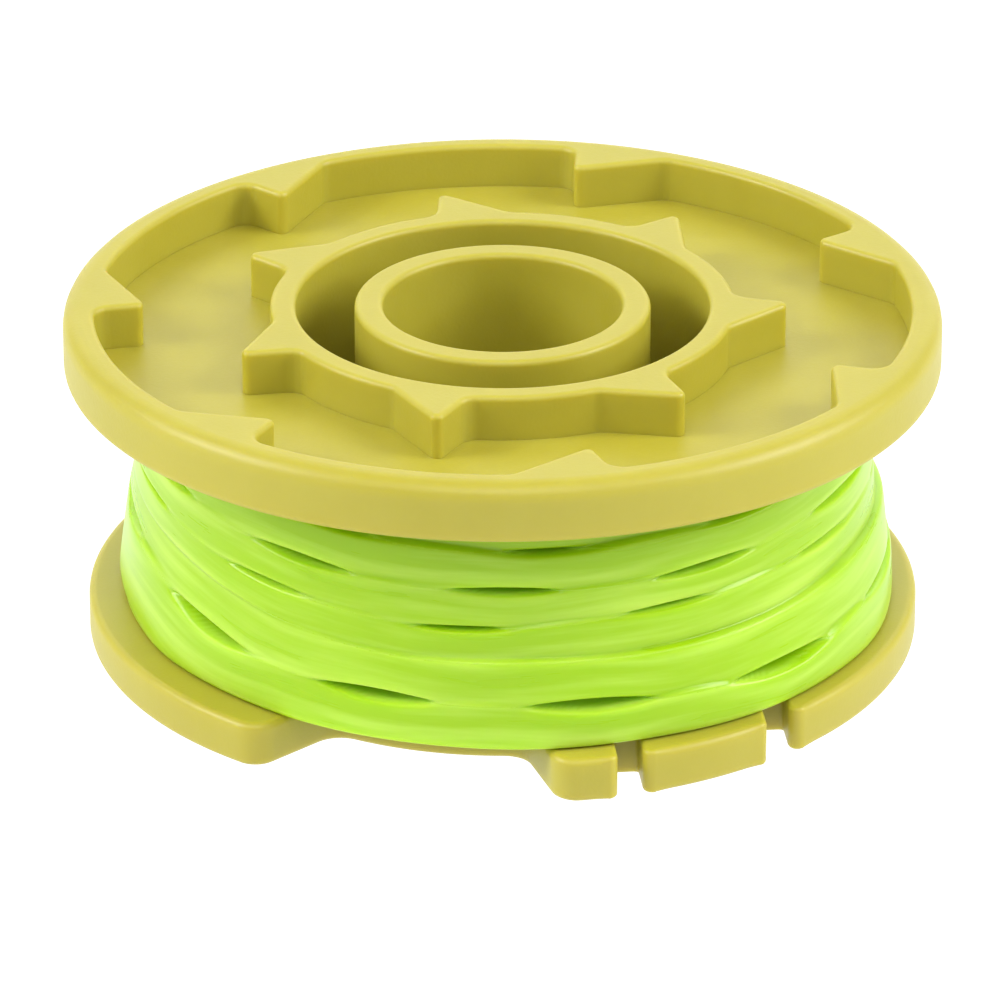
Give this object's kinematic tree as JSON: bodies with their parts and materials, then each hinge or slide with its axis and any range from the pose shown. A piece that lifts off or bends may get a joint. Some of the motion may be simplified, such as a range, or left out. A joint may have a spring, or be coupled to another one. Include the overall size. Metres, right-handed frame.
{
  "type": "trimmer line spool",
  "caption": "Trimmer line spool: a flanged drum with a toothed dish round its hub, a notched lower flange with line slots, and cutting line wound between the flanges.",
  "frame": {"origin": "centre of the lower flange's underside, on the axis of the spool", "axes": "+Z along the axis, from the lower flange to the toothed dish; the notch of the lower flange is on the -Y side"},
  "size_m": [0.065, 0.065, 0.026],
  "materials": {
    "spool_plastic": "olive-yellow moulded nylon, satin",
    "cutting_line": "lime-green nylon line, slightly clear"
  },
  "bodies": {
    "root": {"spool_body": "spool_plastic", "line_winding": "cutting_line"}
  },
  "joints": []
}
